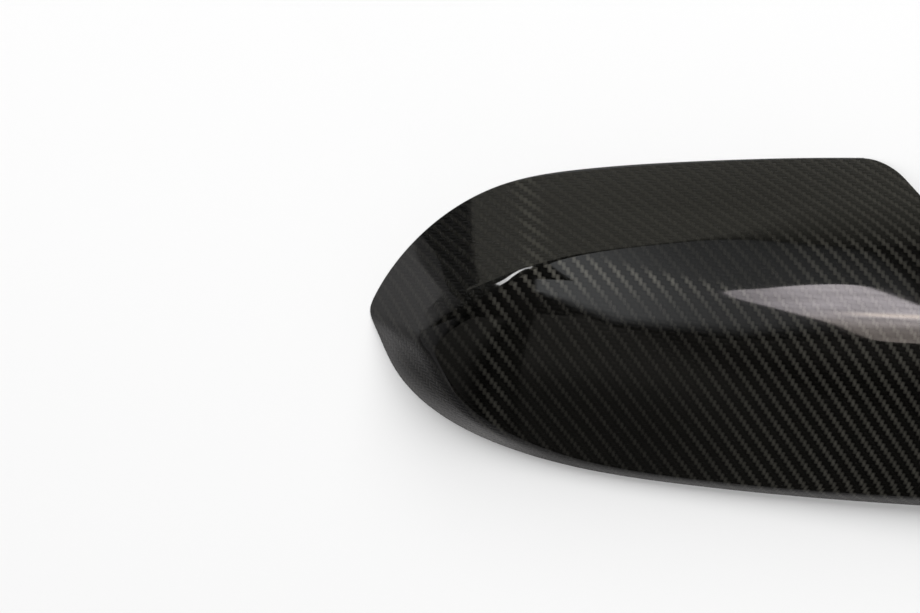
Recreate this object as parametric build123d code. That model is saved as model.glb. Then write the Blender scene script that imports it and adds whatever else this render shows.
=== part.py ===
"""Wing mirror cover: one moulded shell, lying open side down on its flat rim.

+X runs from the outer tip to the inner end, +Y from the near lip to the far rim, +Z up. The origin is the
centre of the rim's plan box, in the rim plane. A ruled wall climbs from the rim outline to a smaller
shoulder outline, a crowned face with a soft ridge closes it, and the two meet in a rounded crease.
"""
import os
from math import atan2, hypot, radians, sin, sqrt, tan

from build123d import *

# Plan, in millimetres from the outer tip
cover_length = 236.0
far_reach = 58.4
near_reach = 75.0
crown_height = 36.0

# Wall: the shoulder is where the wall passes shoulder_height
shoulder_height = 0.8611 * crown_height
band_run = 30.8
lip_run = 9.0
tip_run = 24.0
tip_drop = 14.0
wall = 1.8

# Crown: a ridge with two flanks, as shares of the height and the reach, pairs from tip to inner end
ridge_y = (7.4, -1.4)
near_fall = (1.792, 1.083)
far_fall = (1.006, 0.908)
near_half_width = 0.3733
far_half_width = 0.4795
crown_apex_x = 0.754 * cover_length
crown_tip_fall = 0.3228
crown_tip_power = 4

# Edges
crease_radius = 2.4
inner_crease_radius = crease_radius - wall

# Inner end, cut square through the shell so that the arm passes
end_slant_run = 39.2
end_slant_angle = 65.0
end_far_radius = 15.0
end_slant_radius = 40.0
end_near_radius = 16.0
end_outside = 0.4

# Snap tongues on the hidden side
tongue_width = 12.0
tongue_thickness = 2.2
tongue_clear = 3.0
hook_depth = 1.8
hook_height = 5.0
hook_flat = 1.0
gusset_thickness = 1.8
gusset_reach = 7.0
gusset_low = 9.0
gusset_rise = 10.0
far_tongue_set = 19.0
near_tongue_set = 17.0
tongue_first_x = 0.33 * cover_length
tongue_pitch = 0.39 * cover_length
tongue_count = 2

# Locating pegs on the hidden side
peg_first_x = 0.22 * cover_length
peg_pitch = 0.62 * cover_length
peg_count = 2
peg_radius = 3.0
peg_length = 9.0
peg_lead = 0.8
peg_clear = 7.0
boss_radius = 5.0

# Working margins of the construction, all trimmed away
overrun = 20.0
wall_under = 3.0
wall_over = 6.0
crown_margin = 12.0
crown_far_share = (0.85, 1.25)
crown_near_share = (0.63, 1.17)
crown_sections = 10
crown_points = 9
slope_step = 0.5

# Outlines, as shares of the reach along X and Y that the named sizes set
RIM_FAR = ((0.007, 0.090), (0.038, 0.290), (0.110, 0.584), (0.205, 0.795), (0.333, 0.902), (0.529, 0.967),
           (0.730, 1.000))
RIM_NEAR = ((0.007, 0.072), (0.040, 0.290), (0.100, 0.485), (0.185, 0.632), (0.300, 0.750), (0.494, 0.856),
            (0.760, 0.943))
SHOULDER_FAR = ((0.003, 0.120), (0.026, 0.312), (0.073, 0.510), (0.146, 0.726), (0.264, 0.865),
                (0.462, 0.952), (0.689, 1.000))
SHOULDER_NEAR = ((0.002, 0.077), (0.019, 0.202), (0.064, 0.337), (0.137, 0.477), (0.255, 0.631),
                 (0.453, 0.788), (0.736, 0.913))
FAR_END_SLOPE = 0.0
NEAR_END_SLOPE = -0.072

end_x = cover_length + overrun


def side_points(start, shape, reach, end_slope):
    """Points of one side of an outline, from its tip to past the inner end."""
    run = cover_length - start[0]
    points = [start] + [(start[0] + fx * run, start[1] + fy * reach) for fx, fy in shape]
    last = points[-1]
    return points + [(end_x, last[1] + (end_x - last[0]) * end_slope)]


def side_curve(points, heading):
    """Smooth curve through one side's points, leaving the tip square to X."""
    end_heading = (points[-1][0] - points[-2][0], points[-1][1] - points[-2][1])
    return Spline(*points, tangents=[(0, heading), end_heading], tangent_scalars=[1, 1])


def inset_points(points, other, heading):
    """The points moved inward so that the sloping wall between the outlines is wall thick."""
    curve = side_curve(points, heading)
    moved = []
    for point, mate in zip(points, other):
        course = curve.tangent_at(Vector(*point))
        slope = atan2(shoulder_height, hypot(point[0] - mate[0], point[1] - mate[1]))
        step = wall / sin(slope)
        moved.append((point[0] + heading * course.Y * step, point[1] - heading * course.X * step))
    return moved


def wall_sides(inside):
    """Rim and shoulder points of the far and the near side, outer or inner."""
    tip, shoulder_tip = (0.0, 0.0), (tip_run, -tip_drop)
    sides = []
    for heading, rim_shape, shoulder_shape, reach, run, end_slope in (
        (1, RIM_FAR, SHOULDER_FAR, far_reach, band_run, FAR_END_SLOPE),
        (-1, RIM_NEAR, SHOULDER_NEAR, near_reach, lip_run, NEAR_END_SLOPE),
    ):
        rim = side_points(tip, rim_shape, heading * reach, end_slope)
        shoulder = side_points(shoulder_tip, shoulder_shape, heading * (reach - run) + tip_drop, end_slope)
        if inside:
            rim, shoulder = inset_points(rim, shoulder, heading), inset_points(shoulder, rim, heading)
        sides.append((heading, rim, shoulder))
    return sides


def wall_section(sides, level):
    """Closed outline of the wall at a level, 0 at the rim and 1 at the shoulder."""
    curves = []
    for heading, rim, shoulder in sides:
        points = []
        for low, high in zip(rim, shoulder):
            points.append((low[0] + (high[0] - low[0]) * level, low[1] + (high[1] - low[1]) * level))
        curves.append(side_curve(points, heading))
    closing = Line(curves[0] @ 1, curves[1] @ 1)
    return Pos(0, 0, level * shoulder_height) * Face(Wire([curves[0], closing, curves[1]]))


def wall_solid(inside):
    """The space inside the perimeter wall, open ended upwards."""
    sides = wall_sides(inside)
    bottom = -wall_under / shoulder_height if inside else 0.0
    top = (crown_height + wall_over) / shoulder_height
    return loft([wall_section(sides, bottom), wall_section(sides, top)], ruled=True)


def along(pair, x):
    """A value that runs evenly from the tip to the inner end."""
    return pair[0] + (pair[1] - pair[0]) * x / cover_length


def crown_z(x, y):
    """Height of the crowned face's outer skin."""
    tip_fall = crown_tip_fall * (abs(x - crown_apex_x) / crown_apex_x) ** crown_tip_power
    off = y - along(ridge_y, x)
    if off > 0:
        side_fall = along(far_fall, x) * (hypot(off / far_reach, far_half_width) - far_half_width)
    else:
        side_fall = along(near_fall, x) * (hypot(off / near_reach, near_half_width) - near_half_width)
    return crown_height * (1 - tip_fall - side_fall)


def skin_z(x, y, depth):
    """Height of a skin that lies depth below the crowned face, measured square to it."""
    rise_x = (crown_z(x + slope_step, y) - crown_z(x - slope_step, y)) / (2 * slope_step)
    rise_y = (crown_z(x, y + slope_step) - crown_z(x, y - slope_step)) / (2 * slope_step)
    return crown_z(x, y) - depth * sqrt(1 + rise_x ** 2 + rise_y ** 2)


def crown_solid(depth):
    """Everything under the crowned face, or under a skin that lies depth below it."""
    first_x, last_x = -crown_margin, end_x + crown_margin
    floor_z = -2 * crown_height
    sections = []
    for i in range(crown_sections):
        x = first_x + (last_x - first_x) * i / (crown_sections - 1)
        far_y = far_reach * along(crown_far_share, x)
        near_y = -near_reach * along(crown_near_share, x)
        ys = [far_y + (near_y - far_y) * j / (crown_points - 1) for j in range(crown_points)]
        top = Spline(*[(x, y, skin_z(x, y, depth)) for y in ys])
        base = Polyline(top @ 1, (x, near_y, floor_z), (x, far_y, floor_z), top @ 0)
        sections.append(Face(Wire([top] + base.edges())))
    return loft(sections)


def formed_solid(inside):
    """Wall and crown meeting in the rounded crease, as the outer form or as the hollow inside it."""
    form = wall_solid(inside) & crown_solid(wall if inside else 0.0)
    crown_face = form.faces().sort_by(Axis.Z)[-1]
    crease = crown_face.edges().sort_by(Axis.X)[:-1]
    return fillet(crease, inner_crease_radius if inside else crease_radius)


def inner_end_cutter(height):
    """What lies beyond the inner end: a rounded slant at the far corner, then a plain square end."""
    far_y = far_reach + end_outside
    near_y = -near_reach - end_outside
    slant_x = cover_length - end_slant_run
    slant_drop = end_slant_run * tan(radians(end_slant_angle))
    corner_far = Vector(slant_x, far_y)
    corner_slant = Vector(cover_length, far_y - slant_drop)
    corner_near = Vector(cover_length, near_y)
    radii = [end_far_radius, end_slant_radius, end_near_radius]
    start_x = slant_x - 2 * end_far_radius
    path = FilletPolyline(
        (start_x, far_y),
        corner_far,
        corner_slant,
        corner_near,
        (start_x, near_y),
        radius=radii,
    )
    outside = Polyline(
        path @ 1,
        (start_x, near_y - overrun),
        (end_x + overrun, near_y - overrun),
        (end_x + overrun, far_y + overrun),
        (start_x, far_y + overrun),
        path @ 0,
    )
    region = Face(Wire(path.edges() + outside.edges()))
    return extrude(Pos(0, 0, -overrun) * region, height + 2 * overrun)


def tongue(x, y, facing, height):
    """A snap tongue with its hook turned to +Y or -Y, and a gusset behind it, trimmed by the shell."""
    low = tongue_clear
    hook = tongue_thickness + hook_depth
    profile = Polyline(
        (0, low),
        (tongue_thickness, low),
        (hook, low + hook_height - hook_flat),
        (hook, low + hook_height),
        (tongue_thickness, low + hook_height),
        (tongue_thickness, height),
        (0, height),
        (0, low),
    )
    shank = extrude(Plane.YZ * Face(Wire(profile.edges())), tongue_width / 2, both=True)
    brace = Polyline(
        (0, gusset_low),
        (0, height),
        (-gusset_reach, height),
        (-gusset_reach, gusset_low + gusset_rise),
        (0, gusset_low),
    )
    gusset = extrude(Plane.YZ * Face(Wire(brace.edges())), gusset_thickness / 2, both=True)
    turn = 0 if facing > 0 else 180
    return Pos(x, y, 0) * Rot(0, 0, turn) * (shank + gusset)


def peg(x, y, height):
    """A locating peg on a boss. It is trimmed by the shell."""
    upright = (Align.CENTER, Align.CENTER, Align.MIN)
    pin = Pos(x, y, peg_clear) * Cylinder(peg_radius, height, align=upright)
    pin = chamfer(pin.edges().sort_by(Axis.Z)[0], peg_lead)
    boss = Pos(x, y, peg_clear + peg_length) * Cylinder(boss_radius, height, align=upright)
    return pin + boss


def near_rim_y(x):
    """Where the near rim runs at x."""
    rim = side_curve(side_points((0.0, 0.0), RIM_NEAR, -near_reach, NEAR_END_SLOPE), -1)
    return rim.intersect(Line((x, 0), (x, -2 * near_reach)))[0].center().Y


def hidden_features(height):
    """Snap tongues along both rims, and the locating pegs under the ridge."""
    features = []
    for i in range(tongue_count):
        x = tongue_first_x + i * tongue_pitch
        features.append(tongue(x, far_reach - far_tongue_set, 1, height))
        features.append(tongue(x, near_rim_y(x) + near_tongue_set, -1, height))
    for i in range(peg_count):
        x = peg_first_x + i * peg_pitch
        features.append(peg(x, along(ridge_y, x), height))
    return features


def mirror_cover():
    """The whole cover in its own frame."""
    outer = formed_solid(False)
    shell = outer - formed_solid(True)
    for feature in hidden_features(crown_height + wall):
        shell += feature & outer
    shell -= inner_end_cutter(crown_height)
    middle = shell.bounding_box().center()
    return Pos(-middle.X, -middle.Y, 0) * shell


os.makedirs("parts", exist_ok=True)
export_step(mirror_cover(), "parts/mirror_cover.step")
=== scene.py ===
"""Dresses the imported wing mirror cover: clear-coated twill shell, tongues, pegs and a white stage.

The shell's form is worked out in millimetres from the outer tip, as the cover is drawn, and then set into
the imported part's frame in metres. +X runs from the tip to the open inner end, +Y to the far rim, +Z up.
"""
import math

import bmesh
import bpy
import numpy as np
from bpy.props import FloatProperty, FloatVectorProperty, PointerProperty
from mathutils import Matrix, Vector
from mathutils.bvhtree import BVHTree


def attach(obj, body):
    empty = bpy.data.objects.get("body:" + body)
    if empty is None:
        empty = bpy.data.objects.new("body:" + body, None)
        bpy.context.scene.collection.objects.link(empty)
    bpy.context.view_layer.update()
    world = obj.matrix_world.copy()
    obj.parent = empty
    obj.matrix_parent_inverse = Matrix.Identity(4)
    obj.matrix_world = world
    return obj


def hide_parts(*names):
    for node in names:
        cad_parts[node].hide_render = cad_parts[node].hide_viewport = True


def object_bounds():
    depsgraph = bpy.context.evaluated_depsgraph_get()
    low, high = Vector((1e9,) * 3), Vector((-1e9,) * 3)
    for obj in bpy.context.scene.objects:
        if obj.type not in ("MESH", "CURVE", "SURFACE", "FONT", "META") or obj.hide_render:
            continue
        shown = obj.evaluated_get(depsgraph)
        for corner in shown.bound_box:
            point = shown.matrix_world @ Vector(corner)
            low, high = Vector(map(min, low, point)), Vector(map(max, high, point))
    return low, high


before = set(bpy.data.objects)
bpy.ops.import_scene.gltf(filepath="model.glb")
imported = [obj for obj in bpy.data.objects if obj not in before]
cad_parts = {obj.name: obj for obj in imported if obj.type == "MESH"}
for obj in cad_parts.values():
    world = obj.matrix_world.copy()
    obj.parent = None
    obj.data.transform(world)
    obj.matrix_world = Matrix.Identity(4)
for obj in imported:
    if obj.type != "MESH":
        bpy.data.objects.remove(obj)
CAD_LOW, CAD_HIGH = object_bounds()

bl_info = {
    "name": "Wing Mirror Cover",
    "version": (1, 0, 0),
    "blender": (4, 5, 0),
    "location": "View3D > Sidebar > Cover",
    "description": "Builds a clear-coated twill wing mirror cover around its packed solid",
    "category": "Object",
}

NODE = "mirror_cover"
BODY = "root"
MM = 0.001

# Plan and wall of the cover, in millimetres from the tip
COVER_LENGTH = 236.0
FAR_REACH = 58.4
NEAR_REACH = 75.0
CROWN_HEIGHT = CAD_HIGH.z / MM
SHOULDER_HEIGHT = 0.8611 * CROWN_HEIGHT
BAND_RUN = 30.8
LIP_RUN = 9.0
TIP_RUN = 24.0
TIP_DROP = 14.0
OVERRUN = 20.0
END_X = COVER_LENGTH + OVERRUN
ABOVE_CROWN = 6.0
WALL_TOP = CROWN_HEIGHT + ABOVE_CROWN
TOP_LEVEL = WALL_TOP / SHOULDER_HEIGHT

# Crown: a ridge with two flanks, as shares of the crown's height and of each side's reach
RIDGE_Y = (7.4, -1.4)
NEAR_FALL = (1.792, 1.083)
FAR_FALL = (1.006, 0.908)
NEAR_HALF_WIDTH = 0.3733
FAR_HALF_WIDTH = 0.4795
CROWN_APEX_X = 0.754 * COVER_LENGTH
CROWN_TIP_FALL = 0.3228
CROWN_TIP_POWER = 4

# Inner end, cut straight down through the shell: a slant at the far corner, then a square end
END_SLANT_RUN = 39.2
END_SLANT_ANGLE = math.radians(65.0)
END_FAR_RADIUS = 15.0
END_SLANT_RADIUS = 40.0
END_NEAR_RADIUS = 16.0
END_OUTSIDE = 0.05

# Outlines, as shares of the reach along X and Y
RIM_FAR = ((0.007, 0.090), (0.038, 0.290), (0.110, 0.584), (0.205, 0.795), (0.333, 0.902), (0.529, 0.967),
           (0.730, 1.000))
RIM_NEAR = ((0.007, 0.072), (0.040, 0.290), (0.100, 0.485), (0.185, 0.632), (0.300, 0.750), (0.494, 0.856),
            (0.760, 0.943))
SHOULDER_FAR = ((0.003, 0.120), (0.026, 0.312), (0.073, 0.510), (0.146, 0.726), (0.264, 0.865),
                (0.462, 0.952), (0.689, 1.000))
SHOULDER_NEAR = ((0.002, 0.077), (0.019, 0.202), (0.064, 0.337), (0.137, 0.477), (0.255, 0.631),
                 (0.453, 0.788), (0.736, 0.913))
FAR_END_SLOPE = 0.0
NEAR_END_SLOPE = -0.072

# Where the crease's radius changes along the cover
FAR_TIP_BLEND = (30.0, 64.0)
NEAR_TIP_BLEND = (40.0, 84.0)
INNER_BLEND = (100.0, 172.0)
INNER_POWER = 2
LEAST_RADIUS = 0.4

# Mesh density: columns along each side, rows up the wall and rows from the crease to the ridge
COLUMNS = 150
WALL_ROWS = 32
WALL_CROWDING = 1.8
CROWN_ROWS = 30
ROW_CROWDING = 3.4
SPINE_START = 0.18
END_PULL_POWER = 4
WALL_LET_GO = (0.25, 0.5)
CURVE_STEPS = 900
CREASE_HALVINGS = 44
SLOPE_STEP = 0.05
EDGE_ROWS = 3

# Cloth: the height field that the cloth is laid over
CLOTH_STEP = 0.5
CLOTH_MARGIN = 2.0
CLOTH_START_X = 140.0
CLOTH_TIP_BLEND = 45.0

# Snap tongues and locating pegs on the hidden side, in millimetres
TONGUE_THICKNESS = 2.2
TONGUE_WIDTH = 12.0
TONGUE_CLEAR = 3.0
HOOK_DEPTH = 1.8
HOOK_HEIGHT = 5.0
HOOK_FLAT = 1.0
GUSSET_THICKNESS = 1.8
GUSSET_REACH = 7.0
GUSSET_LOW = 9.0
GUSSET_RISE = 10.0
FAR_TONGUE_SET = 19.0
NEAR_TONGUE_SET = 17.0
TONGUE_XS = (0.33 * COVER_LENGTH, 0.72 * COVER_LENGTH)
PEG_XS = (0.22 * COVER_LENGTH, 0.84 * COVER_LENGTH)
PEG_RADIUS = 3.0
PEG_LENGTH = 9.0
PEG_LEAD = 0.8
PEG_CLEAR = 7.0
BOSS_RADIUS = 5.0
ROOTED = 0.7
FEATURE_BEVEL = 0.3
BEVEL_SEGMENTS = 2
BEVEL_PROFILE = 0.5
PEG_SEGMENTS = 40
BOSS_FLARE = 1.6
FLARE_WAIST = (0.3, 0.4)
FLARE_ROOTED = 0.35
SMOOTH_ANGLE = math.radians(40.0)

# Twill: floats pass over two tows, and the pattern repeats every four
TWILL_REPEAT = 4.0
FLOAT_LENGTH = 2.0
WEFT_NUMBER = 700.0
DRIFT_SCALE = 55.0
DRIFT_DETAIL = 1.0
NOISE_MIDDLE = (0.5, 0.5, 0.5)
ARCH_POWER = 0.6
ARCH_LOW = 0.35
CROWN_POWER = 0.5
FIBRES_PER_TOW = 7.0
FIBRE_RUN = 0.6
FIBRE_DETAIL = 2.0
FIBRE_RELIEF = 0.12
SIDE_POWER = 0.5
TOW_DIP = 0.4
# Painted sheen along each tow: its colour runs from GLINT_LOW at its edges to GLINT_HIGH at its middle, and
# EVENING evens it out on faces turned from the light.
GLINT_LOW = 0.08
GLINT_HIGH = 1.5
EVENING = 0.35
FIBRE_LIGHT = (0.6, 1.4)
TOW_LIGHT = (0.85, 1.15)
FIBRE_ROUGHNESS = (0.5, 0.35)
CLOTH_SPECULAR = 0.04
COAT_PRINT = (0.0, 0.6, 0.78, 0.86)
COAT_ROUGHNESS = 0.045
COAT_IOR = 1.5

# Bare laminate inside, trimmed edge and moulded plastic: each pair runs from the grain's low to its high
RESIN_SCALE = 60.0
RESIN_DETAIL = 3.0
RESIN_SHOWN = (0.2, 0.9)
RESIN_COLOURS = ((0.010, 0.010, 0.010, 1.0), (0.034, 0.033, 0.031, 1.0))
RESIN_ROUGHNESS = (0.62, 0.36)
RESIN_LEVEL = 0.5
EDGE_SCALE = 1500.0
EDGE_DETAIL = 4.0
EDGE_COLOURS = ((0.010, 0.010, 0.010, 1.0), (0.040, 0.039, 0.037, 1.0))
EDGE_ROUGHNESS = (0.35, 0.55)
EDGE_RELIEF = 0.00004
MOULD_SCALE = 2600.0
MOULD_DETAIL = 3.0
MOULD_COLOURS = ((0.012, 0.012, 0.012, 1.0), (0.026, 0.026, 0.026, 1.0))
MOULD_ROUGHNESS = (0.5, 0.62)
MOULD_RELIEF = 0.00003

# Painted light and shade in the cloth's colour: lighter or darker by the way a face is turned, and by
# metres along the cover
AWAY = (-0.5, 0.86, 0.0)
AWAY_WARP = (0.15, 0.55)
AWAY_WEFT = (-0.3, 0.25)
BAND_RUN_OUT = (0.125, 0.200)
BAND_PAINTED_SHADE_END = 0.75
# Painted shade near the tip, in the middle of the near face and on the far flank; painted highlight where
# the middle turns back
TIP_RISE = (0.030, 0.048)
TIP_PAINTED_SHADE = 0.25
MIDDLE_RISE = (0.040, 0.052)
MIDDLE_FALL = (0.095, 0.175)
FARWARD = (0.0, 1.0, 0.0)
PAINTED_DIP_DEPTH = 0.66
BRIGHT_SPAN = (-0.08, 0.16)
BRIGHT_GAIN = 0.35
FLANK_SLANT = 2.9
FLANK_PAINTED_SHADE = (0.43, 0.50)
FLANK_FALL = (0.135, 0.165)
FLANK_LEFT = 0.45
FLANK_RETURN = (0.175, 0.200)
FLANK_BACK = 0.65
# Painted glint ribs on the far band
GLINT_RISE = (0.0485, 0.0555)
GLINT_FALL = (0.0555, 0.064)
GLINT_GAIN = 1.9

# Camera, read from the photograph in millimetres and pixels
CAMERA_DISTANCE = 700.0
CAMERA_AIM = (-84.82, 9.20)
CAMERA_TILT_X = math.radians(8.0)
CAMERA_TILT_Y = math.radians(2.0)
FOCAL_PIXELS = 1909.0
IMAGE_WIDTH = 920.0
SENSOR_WIDTH = 36.0

# Stage, in metres: the table and the lamps
FLOOR_SIZE = 6.0
FLOOR_DROP = 0.0002
TABLE_ROUGHNESS = 0.7
TABLE_SPECULAR = 0.1
LAMP_AIM = (0.0, 0.0, 0.0)
BACK_LAMP = (0.4, 3.0, 2.6)
BACK_LAMP_SIZE = 3.4
OVERHEAD = (-0.2, -1.2, 3.1)
OVERHEAD_SIZE = 2.0

# Cards that the gloss shows, in metres; a fade is an axis, its start and end, and the share that is left
HIDDEN_RAYS = ("camera", "diffuse", "shadow", "transmission", "volume_scatter")
CARD_FOOT = -0.0001
PLAIN_TINT = (1.0, 1.0, 1.0)
WALL_TINT = (1.0, 0.96, 0.87)
BACK_TINT = (1.0, 0.97, 0.84)
LEFT_TINT = (1.0, 0.98, 0.98)
CEILING_TINT = (0.97, 0.99, 1.0)
WINDOW_CARD = ((0.27, 0.155), (0.33, 0.262), (0.389, 0.345), (0.434, 0.36), (0.447, 0.25), (0.459, 0.107),
               (0.475, 0.02), (0.485, -0.405), (0.464, -0.455), (0.424, -0.45), (0.39, -0.321),
               (0.376, -0.258), (0.328, -0.088))
WINDOW_HEIGHT = 1.0
WINDOW_GRAIN = (14.0, 12.0, 1.0)
WINDOW_DETAIL = 4.0
WINDOW_PATCHES = (0.5, 1.5)
WINDOW_RISE = (0.27, 0.40)
WINDOW_LEFT = 0.51
WINDOW_DIMMING = (-0.4, 0.0)
WINDOW_DIMMED = 0.355
WINDOW_WARM = (1.0, 0.87, 0.80, 1.0)
WINDOW_COOL = (1.0, 0.92, 0.96, 1.0)
STREAK_X = (0.36, 0.42)
STREAK_Y = -0.08
STREAK_WIDTH = 0.06
STREAK_SHARE = 0.85
CEILING_CARD = ((-0.042, 0.272), (-0.052, 0.085), (-0.020, 0.060), (0.044, -0.083), (0.114, -0.256),
                (0.187, -0.300), (0.3, -0.32), (0.46, 0.1), (0.7, 1.9), (0.3, 1.9), (0.1, 1.3),
                (-0.01, 0.66), (0.012, 0.461), (0.029, 0.332), (0.041, 0.262), (0.002, 0.267))
CEILING_SOFT = ((1, (0.0, -0.03, 0.0)), (2, (-0.016, -0.10, 0.0)), (3, (-0.02, -0.20, 0.0)),
                (4, (-0.02, -0.26, 0.0)), (5, (0.0, -0.28, 0.0)), (6, (0.0, -0.30, 0.0)),
                (7, (0.2, -0.30, 0.0)))
CEILING_HEIGHT = 1.02
CEILING_FADES = ((0, 0.0, 0.36, 0.36), (0, 0.36, 0.6, 0.3), (1, 0.8, 1.9, 0.0))
FRONT_WALL = ((-0.11, -1.2, 0.4), (0.45, -1.2, 0.4), (0.45, -1.2, 3.2), (-0.07, -1.2, 3.2))
FRONT_FADES = ((0, 0.22, 0.42, 0.2), (2, 1.0, 0.58, 0.32))
UPPER_WALL = ((0.2, -1.21, 1.0), (1.6, -1.21, 1.0), (1.6, -1.21, 3.6), (0.2, -1.21, 3.6))
UPPER_FADES = ((2, 2.0, 1.05, 0.0),)
UPPER_SHARE = 0.4
SIDE_WALL = ((-0.19, -1.2, 0.4), (-0.6, -1.2, 0.4), (-0.6, -1.2, 2.4), (-0.19, -1.2, 2.4))
SIDE_FADES = ((0, -0.30, -0.19, 0.0), (2, 1.4, 0.6, 0.7))
BACK_STRIP = ((-0.600, 1.0, 0.415), (-0.527, 1.0, 0.382), (-0.466, 1.0, 0.256), (-0.388, 1.0, 0.139),
              (-0.333, 1.0, 0.102), (-0.275, 1.0, 0.190), (-0.275, 1.0, 0.498), (-0.333, 1.0, 0.256),
              (-0.388, 1.0, 0.326), (-0.466, 1.0, 0.502), (-0.527, 1.0, 0.706), (-0.600, 1.0, 0.755))
STRIP_FADES = ((0, -0.46, -0.28, 0.38), (0, -0.46, -0.60, 0.7))
BACK_WALL = ((-0.15, 0.3, CARD_FOOT), (1.2, 0.3, CARD_FOOT), (1.2, 0.3, 0.25), (0.06, 0.3, 0.25),
             (-0.05, 0.3, 0.05), (-0.265, 0.3, 0.05), (-0.255, 0.3, 0.03))
BACK_FADES = ((0, 0.0, 0.22, 0.7), (2, 0.03, 0.25, 0.45))
END_FADES = ((0, -0.06, 0.10, 0.78), (0, 0.10, 0.40, 0.6))
DARK_GAP = ((-0.1, 0.31, CARD_FOOT), (-0.4, 0.31, CARD_FOOT), (-0.4, 0.31, 0.06), (-0.1, 0.31, 0.06))
LEFT_WALL = ((-0.29, 0.3, CARD_FOOT), (-0.8, 0.1, CARD_FOOT), (-0.8, 0.1, 0.35), (-0.33, 0.3, 0.35))
LEFT_FADES = ((2, 0.05, 0.35, 0.0), (0, -0.6, -0.27, 0.3))
NEAR_WALL = ((-0.8, 0.1, CARD_FOOT), (-0.5, -1.0, CARD_FOOT), (-0.5, -1.0, 1.6), (-0.8, 0.1, 1.6))
NEAR_FADES = ((2, 0.15, 1.5, 0.0),)
NEAR_TABLE = ((-0.8, 0.1, CARD_FOOT), (-0.8, -1.0, CARD_FOOT), (0.8, -1.0, CARD_FOOT),
              (0.8, -0.02, CARD_FOOT), (-0.1, 0.03, CARD_FOOT), (-0.1, 0.06, CARD_FOOT),
              (-0.29, 0.3, CARD_FOOT))
TABLE_FADES = ((1, 0.03, -0.05, 0.22), (0, -0.1, -0.05, 1.8), (0, -0.03, 0.10, 0.72))
FOOT_REACH = 0.013
FOOT_END = 0.5
FOOT_STEPS = 40
FOOT_SHARE = 0.85
FOOT_FADES = ((0, -0.085, -0.045, 0.0), (1, -0.012, 0.008, 0.0))
TABLE_END = ((-0.06, 0.07, 0.0), (0.6, 0.07, 0.0), (0.9, 0.3, 0.0), (-0.17, 0.3, 0.0))
OUTLINE_STEPS = 8


class ShellSettings(bpy.types.PropertyGroup):
    """Sizes of the moulded shell."""

    wall: FloatProperty(
        name="Wall", description="Thickness of the laminate", default=1.8 * MM, unit="LENGTH")
    crease_radius: FloatProperty(
        name="Crease Radius", description="Radius of the crease along the band",
        default=2.2 * MM, unit="LENGTH")
    tip_radius: FloatProperty(
        name="Tip Radius", description="Radius of the crease round the outer tip",
        default=15.0 * MM, unit="LENGTH")
    inner_radius: FloatProperty(
        name="Inner Radius", description="Radius of the crease where it fades at the inner end",
        default=60.0 * MM, unit="LENGTH")
    lip_radius: FloatProperty(
        name="Lip Radius", description="Radius of the edge above the near lip",
        default=8.0 * MM, unit="LENGTH")
    edge_radius: FloatProperty(
        name="Edge Radius", description="Rounding of the trimmed rim and inner end",
        default=0.4 * MM, unit="LENGTH")


class ClothSettings(bpy.types.PropertyGroup):
    """The twill cloth under the clear coat."""

    pitch_along: FloatProperty(
        name="Pitch Along", description="Tow spacing along the cover", default=1.63 * MM, unit="LENGTH")
    pitch_across: FloatProperty(
        name="Pitch Across", description="Tow spacing across the cover", default=1.58 * MM, unit="LENGTH")
    turn: FloatProperty(
        name="Turn", description="Turn of the cloth on the shell",
        default=math.radians(-8.0), subtype="ANGLE")
    # The warp colour is partly the tows' own black and partly a painted sheen, which makes it far lighter
    # than the weft.
    warp_colour: FloatVectorProperty(
        name="Warp", description="Colour of the tows that catch the light", size=3, subtype="COLOR",
        default=(0.034, 0.0325, 0.0275))
    weft_colour: FloatVectorProperty(
        name="Weft", description="Colour of the tows that lie across it", size=3, subtype="COLOR",
        default=(0.0032, 0.0030, 0.0025))
    # Painted shade and painted sheen: the warp darker and the weft lighter on the far band and outer wall,
    # for how the light falls there.
    painted_shade_warp_colour: FloatVectorProperty(
        name="Dim Warp", description="Colour of the same tows on the far band and outer wall", size=3,
        subtype="COLOR", default=(0.0062, 0.0059, 0.0048))
    painted_sheen_weft_colour: FloatVectorProperty(
        name="Lit Weft", description="Colour of the tows across on the far band and outer wall", size=3,
        subtype="COLOR", default=(0.0014, 0.00135, 0.0011))
    drift: FloatProperty(
        name="Drift", description="How far the tows wander", default=0.3 * MM, unit="LENGTH")
    relief: FloatProperty(
        name="Relief", description="Height of the tows", default=0.2 * MM, unit="LENGTH")


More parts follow.
